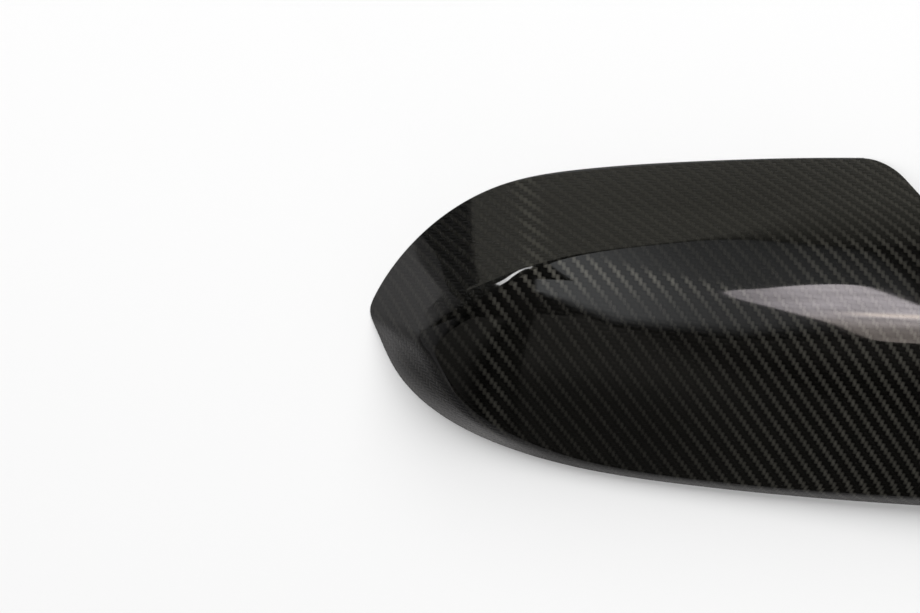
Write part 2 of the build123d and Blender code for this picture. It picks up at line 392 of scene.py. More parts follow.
class StageSettings(bpy.types.PropertyGroup):
    """Table and light."""

    floor_colour: FloatVectorProperty(
        name="Table", description="Colour of the table", size=3, subtype="COLOR", default=(0.8, 0.8, 0.8))
    back_power: FloatProperty(
        name="Back Lamp", description="Power of the soft lamp behind", default=204.0, unit="POWER")
    overhead_power: FloatProperty(
        name="Overhead", description="Power of the soft lamp overhead", default=31.0, unit="POWER")
    window_light: FloatProperty(
        name="Window", description="Brightness of the leaf-shaped window in the gloss", default=9.7)
    ceiling_light: FloatProperty(
        name="Ceiling", description="Brightness of the ceiling panel in the gloss", default=1.52)
    front_light: FloatProperty(
        name="Front Wall", description="Brightness of the front wall in the gloss", default=0.23)
    strip_light: FloatProperty(
        name="Back Strip", description="Brightness of the strip lamp at the back in the gloss",
        default=16.5)
    back_light: FloatProperty(
        name="Back Wall", description="Brightness of the back wall and the far table in the gloss",
        default=0.45)
    left_light: FloatProperty(
        name="Left Wall", description="Brightness of the left wall and the near table in the gloss",
        default=0.85)
    gap_light: FloatProperty(
        name="Dark Gap", description="Brightness of the gap beside the left wall in the gloss",
        default=0.01)
    near_light: FloatProperty(
        name="Near Wall", description="Brightness of the near wall in the gloss", default=0.41)
    room_colour: FloatVectorProperty(
        name="Room", description="Light of the dim room in the gloss", size=3, subtype="COLOR",
        default=(0.031, 0.030, 0.027))
    ambient_colour: FloatVectorProperty(
        name="Ambient", description="Soft light from all round on the table and the cloth", size=3,
        subtype="COLOR", default=(0.3, 0.3, 0.3))


def along(pair, x):
    """A value that runs evenly from the tip to the inner end."""
    return pair[0] + (pair[1] - pair[0]) * x / COVER_LENGTH


def smooth_step(low, high, x):
    """Goes smoothly from 0 at low to 1 at high."""
    share = np.clip((x - low) / (high - low), 0.0, 1.0)
    return share * share * (3.0 - 2.0 * share)


def crown_z(x, y):
    """Height of the crowned face's outer skin."""
    tip_fall = CROWN_TIP_FALL * (np.abs(x - CROWN_APEX_X) / CROWN_APEX_X) ** CROWN_TIP_POWER
    off = y - along(RIDGE_Y, x)
    far = along(FAR_FALL, x) * (np.hypot(off / FAR_REACH, FAR_HALF_WIDTH) - FAR_HALF_WIDTH)
    near = along(NEAR_FALL, x) * (np.hypot(off / NEAR_REACH, NEAR_HALF_WIDTH) - NEAR_HALF_WIDTH)
    return CROWN_HEIGHT * (1.0 - tip_fall - np.where(off > 0, far, near))


def slopes(height, x, y):
    """Rise of a height function along X and Y."""
    rise_x = (height(x + SLOPE_STEP, y) - height(x - SLOPE_STEP, y)) / (2 * SLOPE_STEP)
    rise_y = (height(x, y + SLOPE_STEP) - height(x, y - SLOPE_STEP)) / (2 * SLOPE_STEP)
    return np.stack([rise_x, rise_y], -1)


def skin_height(depth):
    """Height function of a skin that lies depth below the crowned face."""
    def height(x, y):
        if not depth:
            return crown_z(x, y)
        rise = slopes(crown_z, x, y)
        return crown_z(x, y) - depth * np.sqrt(1.0 + (rise ** 2).sum(-1))
    return height


def clamped_curve(points, start_heading):
    """Smooth plan curve through points at unit speed, as a function of the share of its length."""
    points = np.asarray(points, float)
    chords = np.hypot(*np.diff(points, axis=0).T)
    knots = np.r_[0.0, np.cumsum(chords)]
    last = points[-1] - points[-2]
    ends = np.array([(0.0, start_heading), last / np.hypot(*last)])
    count = len(points)
    system = np.zeros((count, count))
    target = np.zeros((count, 2))
    system[0, 0] = system[-1, -1] = 1.0
    target[0], target[-1] = ends
    for i in range(1, count - 1):
        before, after = chords[i - 1], chords[i]
        system[i, i - 1:i + 2] = after, 2.0 * (before + after), before
        step_in, step_out = points[i] - points[i - 1], points[i + 1] - points[i]
        target[i] = 3.0 * (after * step_in / before + before * step_out / after)
    speeds = np.linalg.solve(system, target)

    def at(share):
        s = np.asarray(share) * knots[-1]
        i = np.clip(np.searchsorted(knots, s, side="right") - 1, 0, count - 2)
        h = chords[i]
        t = ((s - knots[i]) / h)[..., None]
        h = h[..., None]
        return ((2 * t ** 3 - 3 * t ** 2 + 1) * points[i] + (t ** 3 - 2 * t ** 2 + t) * h * speeds[i]
                + (3 * t ** 2 - 2 * t ** 3) * points[i + 1] + (t ** 3 - t ** 2) * h * speeds[i + 1])

    at.headings = speeds / np.hypot(speeds[:, :1], speeds[:, 1:])
    return at


def side_points(start, shape, reach, end_slope):
    """Points of one side of an outline, from its tip to past the inner end."""
    run = COVER_LENGTH - start[0]
    points = [start] + [(start[0] + fx * run, start[1] + fy * reach) for fx, fy in shape]
    x, y = points[-1]
    return np.array(points + [(END_X, y + (END_X - x) * end_slope)])


def inset_points(points, other, heading, wall):
    """Outline points moved inward so that the sloping wall is wall thick."""
    course = clamped_curve(points, heading).headings
    slope = np.arctan2(SHOULDER_HEIGHT, np.hypot(*(points - other).T))
    step = (heading * wall / np.sin(slope))[:, None]
    return points + step * np.stack([course[:, 1], -course[:, 0]], -1)


class Side:
    """One side of the shell: its ruled wall, from the tip to past the inner end."""

    def __init__(self, far, wall):
        self.far = far
        heading = 1 if far else -1
        rim_shape, shoulder_shape = (RIM_FAR, SHOULDER_FAR) if far else (RIM_NEAR, SHOULDER_NEAR)
        reach, run = (FAR_REACH, BAND_RUN) if far else (NEAR_REACH, LIP_RUN)
        end_slope = FAR_END_SLOPE if far else NEAR_END_SLOPE
        rim = side_points((0.0, 0.0), rim_shape, heading * reach, end_slope)
        shoulder_reach = heading * (reach - run) + TIP_DROP
        shoulder = side_points((TIP_RUN, -TIP_DROP), shoulder_shape, shoulder_reach, end_slope)
        if wall:
            rim, shoulder = (inset_points(rim, shoulder, heading, wall),
                             inset_points(shoulder, rim, heading, wall))
        self.low = clamped_curve(rim, heading)
        self.high = clamped_curve(rim + (shoulder - rim) * TOP_LEVEL, heading)

    def plan(self, share, level):
        """Plan point of the wall at a share of its length and a level from 0 at the rim to 1 at its top."""
        low = self.low(share)
        return low + (self.high(share) - low) * level[..., None]

    def crease_level(self, share, height):
        """Level at which the wall meets a skin."""
        below, above = np.zeros_like(share), np.ones_like(share)
        for _ in range(CREASE_HALVINGS):
            middle = (below + above) / 2
            spot = self.plan(share, middle)
            under = middle * WALL_TOP < height(spot[..., 0], spot[..., 1])
            below, above = np.where(under, middle, below), np.where(under, above, middle)
        return (below + above) / 2

    def rise(self, share, level):
        """Rise of the wall along X and Y."""
        step = 1.0 / CURVE_STEPS
        ahead, back = np.clip(share + step, 0, 1), np.clip(share - step, 0, 1)
        over_share = (self.plan(ahead, level) - self.plan(back, level)) / (ahead - back)[..., None]
        over_level = self.high(share) - self.low(share)
        area = over_share[..., 0] * over_level[..., 1] - over_share[..., 1] * over_level[..., 0]
        return WALL_TOP * np.stack([-over_share[..., 1], over_share[..., 0]], -1) / area[..., None]


def end_cut_x(y):
    """Where the inner end is cut at y: a rounded slant at the far corner, then a plain square end."""
    far_y, near_y = FAR_REACH + END_OUTSIDE, -NEAR_REACH - END_OUTSIDE
    slant_x = COVER_LENGTH - END_SLANT_RUN
    far_centre_x = slant_x - END_FAR_RADIUS * math.tan(END_SLANT_ANGLE / 2)
    far_centre_y = far_y - END_FAR_RADIUS
    slant_foot_y = far_y - END_SLANT_RUN * math.tan(END_SLANT_ANGLE)
    slant_centre_x = COVER_LENGTH - END_SLANT_RADIUS
    slant_centre_y = slant_foot_y - END_SLANT_RADIUS * math.tan(math.pi / 4 - END_SLANT_ANGLE / 2)
    near_centre_y = near_y + END_NEAR_RADIUS
    x = np.full_like(y, COVER_LENGTH)
    near_x = COVER_LENGTH - END_NEAR_RADIUS + bow(END_NEAR_RADIUS, y - near_centre_y)
    x = np.where(y < near_centre_y, near_x, x)
    x = np.where(y > slant_centre_y, slant_centre_x + bow(END_SLANT_RADIUS, y - slant_centre_y), x)
    on_slant = y > slant_centre_y + END_SLANT_RADIUS * math.cos(END_SLANT_ANGLE)
    x = np.where(on_slant, slant_x + (far_y - y) / math.tan(END_SLANT_ANGLE), x)
    on_corner = y > far_centre_y + END_FAR_RADIUS * math.cos(END_SLANT_ANGLE)
    return np.where(on_corner, far_centre_x + bow(END_FAR_RADIUS, y - far_centre_y), x)


def bow(radius, off):
    """How far a circle bows out at a distance off its centre line."""
    return np.sqrt(np.clip(radius ** 2 - off ** 2, 0.0, None))


def crowded(rows):
    """Shares from 0 to 1 that crowd towards 0."""
    return np.sinh(ROW_CROWDING * np.linspace(0, 1, rows + 1)) / math.sinh(ROW_CROWDING)


def crowded_ends(rows):
    """Shares from 0 to 1 that crowd towards both ends."""
    return 0.5 + 0.5 * np.tanh(WALL_CROWDING * np.linspace(-1, 1, rows + 1)) / math.tanh(WALL_CROWDING)


def crease_radii(x, far, sizes, thinner):
    """Radius of the crease along one side, in millimetres."""
    tip = sizes.tip_radius / MM
    if far:
        middle, inner = sizes.crease_radius / MM, sizes.inner_radius / MM
        radius = middle + (inner - middle) * smooth_step(*INNER_BLEND, x) ** INNER_POWER
    else:
        radius = np.full_like(x, sizes.lip_radius / MM)
    radius = tip + (radius - tip) * smooth_step(*(FAR_TIP_BLEND if far else NEAR_TIP_BLEND), x)
    return np.maximum(radius - thinner, LEAST_RADIUS)


def wall_grid(side, height, shares):
    """Shares and levels of a wall's points: rows from the rim to the crease, each cut at the inner end."""
    fine = np.linspace(0, 1, CURVE_STEPS + 1)
    fine_level = side.crease_level(fine, height)
    grid_share, grid_level = [], []
    for level in crowded_ends(WALL_ROWS):
        spot = side.plan(fine, fine_level * level)
        beyond = spot[:, 0] - end_cut_x(spot[:, 1])
        i = int(np.argmax(beyond > 0))
        part = beyond[i - 1] / (beyond[i - 1] - beyond[i])
        share = (fine[i - 1] + part * (fine[i] - fine[i - 1])) * shares
        grid_share.append(share)
        grid_level.append(side.crease_level(share, height) * level)
    return np.array(grid_share).T, np.array(grid_level).T


def ridge_spine(tops):
    """Plan points on the ridge, one for each column, that the crown's rows run to."""
    reach = np.mean([(top[:, 0] - top[0, 0]) / (top[-1, 0] - top[0, 0]) for top in tops], 0)
    start, end = tops[0][0], np.array([COVER_LENGTH, RIDGE_Y[1]])
    return start + (end - start) * (SPINE_START + (1 - SPINE_START) * reach)[:, None]


def crease_depth(wall_rise, crown_rise, radii):
    """Height over which wall and crown blend, so that the crease gets its radius."""
    turn = ((wall_rise - crown_rise) ** 2).sum(-1)
    steep = (1.0 + (((wall_rise + crown_rise) / 2) ** 2).sum(-1)) ** 1.5
    return (radii * turn / (2 * steep))[:, None]


def half_skin(side, grid, spine, shares, sizes, wall):
    """Points and normals of one side of a skin, with its crease rounded off."""
    share, level = grid
    height = skin_height(wall)
    on_wall = side.plan(share, level)
    wall_rise = side.rise(share, level)
    top, top_rise = on_wall[:, -1], wall_rise[:, -1:]
    across = crowded(CROWN_ROWS)[1:]
    on_crown = top[:, None] + (spine - top)[:, None] * across[None, :, None]
    short = end_cut_x(on_crown[-1, :, 1]) - on_crown[-1, :, 0]
    on_crown[..., 0] += short[None] * shares[:, None] ** END_PULL_POWER
    let_go = CROWN_HEIGHT * smooth_step(*WALL_LET_GO, across)
    reach_up = ((on_crown - top[:, None]) * top_rise).sum(-1) + let_go[None]
    top_z = (level[:, -1] * WALL_TOP)[:, None]
    plan = np.concatenate([on_wall, on_crown], 1)
    wall_z = np.concatenate([level * WALL_TOP, top_z + reach_up], 1)
    rise_wall = np.concatenate([wall_rise, np.broadcast_to(top_rise, on_crown.shape)], 1)
    crown = height(plan[..., 0], plan[..., 1])
    rise_crown = slopes(height, plan[..., 0], plan[..., 1])
    radii = crease_radii(top[:, 0], side.far, sizes, wall)
    soft = crease_depth(top_rise[:, 0], rise_crown[:, WALL_ROWS], radii)
    gap = wall_z - crown
    mix = np.clip(0.5 + 0.5 * gap / soft, 0.0, 1.0)
    z = np.minimum(wall_z, crown) - np.clip(soft - np.abs(gap), 0, None) ** 2 / (4 * soft)
    rise = rise_wall + (rise_crown - rise_wall) * mix[..., None]
    points = np.concatenate([plan, z[..., None]], -1)
    normals = np.concatenate([-rise, np.ones_like(z)[..., None]], -1)
    return points, normals / np.linalg.norm(normals, axis=-1, keepdims=True)


def skin_grid(sizes, inside):
    """Points and normals of one skin, in millimetres: columns from the far end round the tip to the near
    end, rows from the rim over the crease to the ridge."""
    wall = sizes.wall / MM if inside else 0.0
    shares = np.linspace(0, 1, COLUMNS + 1)
    sides = [Side(far, wall) for far in (True, False)]
    grids = [wall_grid(side, skin_height(wall), shares) for side in sides]
    tops = [side.plan(share[:, -1], level[:, -1]) for side, (share, level) in zip(sides, grids)]
    spine = ridge_spine(tops)
    halves = [half_skin(side, grid, spine, shares, sizes, wall) for side, grid in zip(sides, grids)]
    return [np.concatenate([far[:0:-1], near]) for far, near in zip(*halves)]


def frame_shift():
    """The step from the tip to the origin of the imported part's frame, in millimetres."""
    outline = Side(True, 0.0).low(np.linspace(0, 1, CURVE_STEPS + 1))
    return np.array([CAD_LOW.x / MM, CAD_HIGH.y / MM - outline[:, 1].max(), 0.0])


def grid_faces(ids):
    """Quads of a skin, with its two halves sewn together along the ridge."""
    columns, rows = ids.shape
    quads = []
    for i in range(columns - 1):
        for j in range(rows - 1):
            quad = [ids[i, j], ids[i + 1, j], ids[i + 1, j + 1], ids[i, j + 1]]
            quads.append([v for n, v in enumerate(quad) if v not in quad[:n]])
    return quads


def sewn_ids(columns, rows):
    """Vertex numbers of a skin: the ridge row is shared by the far and the near half."""
    ids = np.arange(columns * rows).reshape(columns, rows)
    half = columns // 2
    ids[half + 1:, -1] = ids[:half, -1][::-1]
    used, renumbered = np.unique(ids, return_inverse=True)
    return renumbered.reshape(ids.shape), used


def boundary(ids):
    """The open edge of a skin in order: along the rim, then back along the inner end."""
    near_end = list(ids[-1, 1:])
    far_end = list(ids[0, -2:0:-1])
    return list(ids[:, 0]) + near_end + far_end


def inward_neighbours(ids):
    """For each vertex of the open edge, the vertex one step into the skin."""
    near_end = list(ids[-2, 1:])
    far_end = list(ids[1, -2:0:-1])
    return list(ids[:, 1]) + near_end + far_end


def cloth_map(points, faces):
    """Where each plan point lies on cloth laid over the shell: millimetres along and across it."""
    tree = BVHTree.FromPolygons([Vector(p) for p in points], faces)
    xs = np.arange(-CLOTH_MARGIN, COVER_LENGTH + CLOTH_MARGIN, CLOTH_STEP)
    ys = np.arange(-NEAR_REACH - CLOTH_MARGIN, FAR_REACH + CLOTH_MARGIN, CLOTH_STEP)
    heights = np.full((len(xs), len(ys)), np.nan)
    down = Vector((0, 0, -1))
    for i, x in enumerate(xs):
        for j, y in enumerate(ys):
            hit = tree.ray_cast(Vector((x, y, 2 * CROWN_HEIGHT)), down)[0]
            if hit is not None:
                heights[i, j] = hit.z
    steps_x = np.nan_to_num(np.hypot(np.diff(heights, axis=0), CLOTH_STEP), nan=CLOTH_STEP)
    steps_y = np.nan_to_num(np.hypot(np.diff(heights, axis=1), CLOTH_STEP), nan=CLOTH_STEP)
    along_x = np.concatenate([np.zeros((1, len(ys))), np.cumsum(steps_x, 0)])
    along_y = np.concatenate([np.zeros((len(xs), 1)), np.cumsum(steps_y, 1)], 1)
    start_x = int(round((CLOTH_START_X - xs[0]) / CLOTH_STEP))
    along_x += CLOTH_START_X - along_x[start_x]
    start_y = along(RIDGE_Y, xs) * smooth_step(0.0, CLOTH_TIP_BLEND, xs)
    for i in range(len(xs)):
        along_y[i] += start_y[i] - np.interp(start_y[i], ys, along_y[i])

    def lookup(table, x, y):
        fx, fy = (x - xs[0]) / CLOTH_STEP, (y - ys[0]) / CLOTH_STEP
        i, j = fx.astype(int), fy.astype(int)
        fx, fy = fx - i, fy - j
        return ((1 - fx) * (1 - fy) * table[i, j] + fx * (1 - fy) * table[i + 1, j]
                + (1 - fx) * fy * table[i, j + 1] + fx * fy * table[i + 1, j + 1])

    return lambda x, y: np.stack([lookup(along_x, x, y), lookup(along_y, x, y)], -1)


def new_object(name, mesh):
    """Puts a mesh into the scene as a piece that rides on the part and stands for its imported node."""
    piece = bpy.data.objects.new(name, mesh)
    bpy.context.scene.collection.objects.link(piece)
    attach(piece, BODY)
    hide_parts(NODE)


def rounded_edge(outer, inner, edge, into, radius):
    """Draws the open edges of both skins back, and gives the rows of points that round the trimmed edge."""
    corner_out, corner_in = outer[edge], inner[edge]
    through = corner_in - corner_out
    through /= np.linalg.norm(through, axis=1, keepdims=True)
    strips = []
    for skin, corner, inward in ((outer, corner_out, through), (inner, corner_in, -through)):
        back = skin[into] - corner
        back /= np.linalg.norm(back, axis=1, keepdims=True)
        skin[edge] = corner + radius * back
        for t in np.linspace(0, 1, EDGE_ROWS + 1)[1:]:
            strips.append((1 - t) ** 2 * skin[edge] + 2 * t * (1 - t) * corner
                          + t * t * (corner + radius * inward))
    return strips[:EDGE_ROWS] + strips[EDGE_ROWS:][::-1]


def trim_faces(edge, strip_count, skin_count):
    """Quads of the trimmed edge, from the outer skin over the strips to the inner skin."""
    edge = np.array(edge)
    count = len(edge)
    strips = [2 * skin_count + n * count + np.arange(count) for n in range(strip_count)]
    rows = [edge, *strips, edge + skin_count]
    quads = []
    for first, second in zip(rows, rows[1:]):
        for i in range(count):
            j = (i + 1) % count
            quads.append([first[j], first[i], second[i], second[j]])
    return quads


def lay_cloth(mesh, cloth):
    """Gives each corner of the mesh its place on the cloth."""
    layer = mesh.uv_layers.new(name="cloth")
    corners = np.zeros(len(mesh.loops), int)
    mesh.loops.foreach_get("vertex_index", corners)
    layer.data.foreach_set("uv", cloth[corners].astype(np.float32).ravel())


def set_normals(mesh, normals):
    """Gives the skins' vertices their worked-out normals, and the trimmed edge its own."""
    own = np.zeros(len(mesh.vertices) * 3, np.float32)
    mesh.vertices.foreach_get("normal", own)
    own = own.reshape(-1, 3)
    own[:len(normals)] = normals
    mesh.normals_split_custom_set_from_vertices(own.tolist())


def build_shell(sizes):
    """The shell as one closed mesh: outer skin, inner skin and the rounded edge that joins them."""
    grids = [*skin_grid(sizes, False), *skin_grid(sizes, True)]
    ids, used = sewn_ids(*grids[0].shape[:2])
    outer, outer_normals, inner, inner_normals = (grid.reshape(-1, 3)[used] for grid in grids)
    skin_count = len(used)
    quads = [[int(v) for v in quad] for quad in grid_faces(ids)]
    edge = boundary(ids)
    strips = rounded_edge(outer, inner, edge, inward_neighbours(ids), sizes.edge_radius / MM)
    inside = [[v + skin_count for v in reversed(quad)] for quad in quads]
    trim = [[int(v) for v in quad] for quad in trim_faces(edge, len(strips), skin_count)]
    areas = (quads, inside, trim)
    faces = [face for area in areas for face in area]
    points = np.concatenate([outer, inner, *strips])
    mesh = bpy.data.meshes.new("cover_shell")
    mesh.from_pydata(((points + frame_shift()) * MM).tolist(), [], faces)
    lay_cloth(mesh, cloth_map(outer, quads)(points[:, 0], points[:, 1]) * MM)
    finishes = np.repeat(np.arange(len(areas), dtype=np.int32), [len(area) for area in areas])
    mesh.polygons.foreach_set("material_index", finishes)
    mesh.polygons.foreach_set("use_smooth", np.ones(len(faces), bool))
    mesh.update()
    set_normals(mesh, np.concatenate([outer_normals, -inner_normals]))
    mesh.validate()
    return mesh


def put(tree, kind, values=None, **settings):
    """Adds a node, sets it up and fills its inputs with plain values or other nodes' sockets."""
    node = tree.nodes.new(kind)
    for name, value in settings.items():
        setattr(node, name, value)
    for key, value in (values or {}).items():
        if isinstance(value, bpy.types.NodeSocket):
            tree.links.new(value, node.inputs[key])
        else:
            node.inputs[key].default_value = value
    return node


def calc(tree, operation, *values):
    """Result of a Math node."""
    return put(tree, "ShaderNodeMath", dict(enumerate(values)), operation=operation).outputs[0]


def between(tree, share, low, high):
    """A value that goes from low to high with share."""
    return calc(tree, "MULTIPLY_ADD", share, calc(tree, "SUBTRACT", high, low), low)


def tint(tree, share, first, second):
    """A colour that goes from first to second with share."""
    mix = put(tree, "ShaderNodeMix", {0: share, 6: first, 7: second}, data_type="RGBA")
    return mix.outputs[2]


def grain(tree, place, detail, scale=1.0):
    """Soft noise from 0 to 1 at a place."""
    noise = put(tree, "ShaderNodeTexNoise", {"Vector": place, "Scale": scale, "Detail": detail})
    return noise.outputs["Fac"]


def new_group(name, inputs, outputs):
    """A shader node group with its named sockets, and the sockets to build from and to."""
    tree = bpy.data.node_groups.new(name, "ShaderNodeTree")
    for way, sockets in (("INPUT", inputs), ("OUTPUT", outputs)):
        for socket, kind in sockets.items():
            tree.interface.new_socket(socket, in_out=way, socket_type=f"NodeSocket{kind}")
    return tree, tree.nodes.new("NodeGroupInput").outputs, tree.nodes.new("NodeGroupOutput").inputs


def bowed(tree, run, power):
    """Rises and falls as a tow does along one float."""
    wave = calc(tree, "SINE", calc(tree, "MULTIPLY", run, math.pi / FLOAT_LENGTH))
    return calc(tree, "POWER", calc(tree, "MAXIMUM", wave, 0.0), power)


def twill_group():
    """Two-over-two twill: which tow lies on top, its height, its fibres, its tone and its glint, a shape
    that becomes a painted sheen in the coated twill's colour and the print in its coat.
    """
    tree, given, out = new_group(
        "twill_weave",
        {"Cloth": "Vector", "Pitch Along": "Float", "Pitch Across": "Float", "Turn": "Float",
         "Drift": "Float"},
        {"Warp": "Float", "Height": "Float", "Fibres": "Float", "Tone": "Float", "Glint": "Float"})
    drift = put(tree, "ShaderNodeTexNoise", {
        "Vector": given["Cloth"], "Scale": DRIFT_SCALE, "Detail": DRIFT_DETAIL}).outputs["Color"]
    centred = put(tree, "ShaderNodeVectorMath", {0: drift, 1: NOISE_MIDDLE}, operation="SUBTRACT")
    moved = put(tree, "ShaderNodeVectorMath", {0: centred.outputs[0], "Scale": given["Drift"]},
                operation="SCALE")
    laid = put(tree, "ShaderNodeVectorMath", {0: given["Cloth"], 1: moved.outputs[0]}, operation="ADD")
    turned = put(tree, "ShaderNodeVectorRotate", {"Vector": laid.outputs[0], "Angle": given["Turn"]},
                 rotation_type="Z_AXIS", invert=True)
    flat = put(tree, "ShaderNodeSeparateXYZ", {0: turned.outputs[0]})
    x = calc(tree, "DIVIDE", flat.outputs[0], given["Pitch Along"])
    y = calc(tree, "DIVIDE", flat.outputs[1], given["Pitch Across"])
    tow_x, tow_y = calc(tree, "FLOOR", x), calc(tree, "FLOOR", y)
    step = calc(tree, "FLOORED_MODULO", calc(tree, "ADD", tow_x, tow_y), TWILL_REPEAT)
    warp = calc(tree, "LESS_THAN", step, FLOAT_LENGTH)
    warp_run = calc(tree, "FLOORED_MODULO", calc(tree, "ADD", tow_x, y), TWILL_REPEAT)
    weft_run = calc(tree, "FLOORED_MODULO", calc(tree, "ADD", tow_y, x), TWILL_REPEAT)
    run = between(tree, warp, calc(tree, "SUBTRACT", weft_run, FLOAT_LENGTH), warp_run)
    side = between(tree, warp, calc(tree, "SUBTRACT", warp_run, FLOAT_LENGTH), weft_run)
    across = between(tree, warp, calc(tree, "FRACT", y), calc(tree, "FRACT", x))
    off = between(tree, across, -1.0, 1.0)
    crown = calc(tree, "SUBTRACT", 1.0, calc(tree, "MULTIPLY", off, off))
    arch, rope = bowed(tree, run, ARCH_POWER), bowed(tree, side, SIDE_POWER)
    rounded = calc(tree, "POWER", crown, CROWN_POWER)
    height = calc(tree, "MULTIPLY", rounded, between(tree, arch, ARCH_LOW, 1.0))
    number = between(tree, warp, calc(tree, "ADD", tow_y, WEFT_NUMBER), tow_x)
    tone = put(tree, "ShaderNodeTexWhiteNoise", {"W": number}, noise_dimensions="1D").outputs["Value"]
    long_way = between(tree, warp, x, y)
    short_way = between(tree, warp, y, x)
    streak_place = put(tree, "ShaderNodeCombineXYZ", {
        0: calc(tree, "MULTIPLY", short_way, FIBRES_PER_TOW),
        1: calc(tree, "MULTIPLY", long_way, FIBRE_RUN),
        2: number})
    tree.links.new(warp, out["Warp"])
    tree.links.new(height, out["Height"])
    tree.links.new(grain(tree, streak_place.outputs[0], FIBRE_DETAIL), out["Fibres"])
    tree.links.new(tone, out["Tone"])
    dipped = calc(tree, "MULTIPLY", between(tree, crown, TOW_DIP, 1.0), rope)
    tree.links.new(calc(tree, "MULTIPLY", dipped, arch), out["Glint"])
    return tree


def grain_group():
    """Fine grain of a dull surface, built once: its colour, roughness and height change together."""
    made = bpy.data.node_groups.get("fine_grain")
    if made:
        return made
    tree, given, out = new_group(
        "fine_grain",
        {"Place": "Vector", "Scale": "Float", "Detail": "Float", "Low Colour": "Color",
         "High Colour": "Color", "Low Roughness": "Float", "High Roughness": "Float"},
        {"Colour": "Color", "Roughness": "Float", "Height": "Float"})
    fine = grain(tree, given["Place"], given["Detail"], given["Scale"])
    tree.links.new(tint(tree, fine, given["Low Colour"], given["High Colour"]), out["Colour"])
    tree.links.new(between(tree, fine, given["Low Roughness"], given["High Roughness"]), out["Roughness"])
    tree.links.new(fine, out["Height"])
    return tree


def new_finish(name):
    """A material with its tree and its shader."""
    material = bpy.data.materials.new(name)
    material.use_nodes = True
    tree = material.node_tree
    return material, tree, tree.nodes["Principled BSDF"]


def weave(tree, twill, cloth):
    """The place of each point on the cloth, and the twill's outputs there."""
    place = put(tree, "ShaderNodeUVMap", uv_map="cloth").outputs[0]
    node = put(tree, "ShaderNodeGroup", {
        "Cloth": place, "Pitch Along": cloth.pitch_along, "Pitch Across": cloth.pitch_across,
        "Turn": cloth.turn, "Drift": cloth.drift}, node_tree=twill)
    return place, node.outputs


def relief(tree, shader, height, distance):
    """Raises the shaded surface by a height from 0 to 1 over a distance."""
    bump = put(tree, "ShaderNodeBump", {"Height": height, "Distance": distance, "Strength": 1.0})
    tree.links.new(bump.outputs[0], shader.inputs["Normal"])


def ramp(tree, value, low, high, first, last):
    """A value that goes smoothly from first to last while another goes from low to high."""
    node = put(tree, "ShaderNodeMapRange", {
        "Value": value, "From Min": low, "From Max": high, "To Min": first, "To Max": last},
        interpolation_type="SMOOTHSTEP")
    return node.outputs[0]


def span(tree, value, rise, fall):
    """1 between a rise and a fall, 0 outside them."""
    return calc(tree, "MULTIPLY", ramp(tree, value, *rise, 0.0, 1.0), ramp(tree, value, *fall, 1.0, 0.0))


def turned_to(tree, way):
    """How far the surface is turned to a direction."""
    normal = put(tree, "ShaderNodeNewGeometry").outputs["Normal"]
    return put(tree, "ShaderNodeVectorMath", {0: normal, 1: way}, operation="DOT_PRODUCT").outputs["Value"]


def facing(tree, way, low, high):
    """Goes from 0 to 1 as the surface turns towards a direction."""
    return ramp(tree, turned_to(tree, way), low, high, 0.0, 1.0)


def painted_light_masks(tree, run):
    """Masks for painted shade and sheen: how far the cloth lies turned from the light, for the warp and for
    the weft.
    """
    run_out = ramp(tree, run, *BAND_RUN_OUT, 1.0, BAND_PAINTED_SHADE_END)
    warp = calc(tree, "MULTIPLY", facing(tree, AWAY, *AWAY_WARP), run_out)
    weft = calc(tree, "MULTIPLY", facing(tree, AWAY, *AWAY_WEFT), run_out)
    flank = calc(tree, "MULTIPLY_ADD", run, FLANK_SLANT, turned_to(tree, FARWARD))
    flank_run = calc(tree, "MAXIMUM", ramp(tree, run, *FLANK_FALL, 1.0, FLANK_LEFT),
                     ramp(tree, run, *FLANK_RETURN, 0.0, FLANK_BACK))
    flank = calc(tree, "MULTIPLY", ramp(tree, flank, *FLANK_PAINTED_SHADE, 0.0, 1.0), flank_run)
    return calc(tree, "MAXIMUM", warp, flank), weft


def painted_tow_light(tree, tow, run, away):
    """How light a tow is painted: partly its own fibres and tone, and partly painted light, a painted sheen
    along each tow with painted shade and highlights by how it lies and its place on the cover.
    """
    fibres = between(tree, tow["Fibres"], *FIBRE_LIGHT)
    light = calc(tree, "MULTIPLY", fibres, between(tree, tow["Tone"], *TOW_LIGHT))
    # Painted sheen: each tow lighter in its middle, evened out on faces turned away.
    light = calc(tree, "MULTIPLY", light, between(tree, tow["Glint"], GLINT_LOW, GLINT_HIGH))
    light = between(tree, calc(tree, "MULTIPLY", away, EVENING), light, 1.0)
    # Painted shade in the middle of the near face, painted highlight where it turns back, painted glint
    # ribs on the band.
    bright = between(tree, facing(tree, FARWARD, *BRIGHT_SPAN), -PAINTED_DIP_DEPTH, BRIGHT_GAIN)
    painted_middle_light = calc(tree, "MULTIPLY", bright, span(tree, run, MIDDLE_RISE, MIDDLE_FALL))
    painted_band_glint = calc(tree, "MULTIPLY", span(tree, run, GLINT_RISE, GLINT_FALL), GLINT_GAIN)
    gain = between(tree, away, painted_middle_light, painted_band_glint)
    light = calc(tree, "MULTIPLY", light, calc(tree, "MULTIPLY_ADD", gain, tow["Warp"], 1.0))
    # Painted shade near the tip, on faces not turned away.
    tip = between(tree, away, ramp(tree, run, *TIP_RISE, TIP_PAINTED_SHADE, 1.0), 1.0)
    return calc(tree, "MULTIPLY", light, tip)


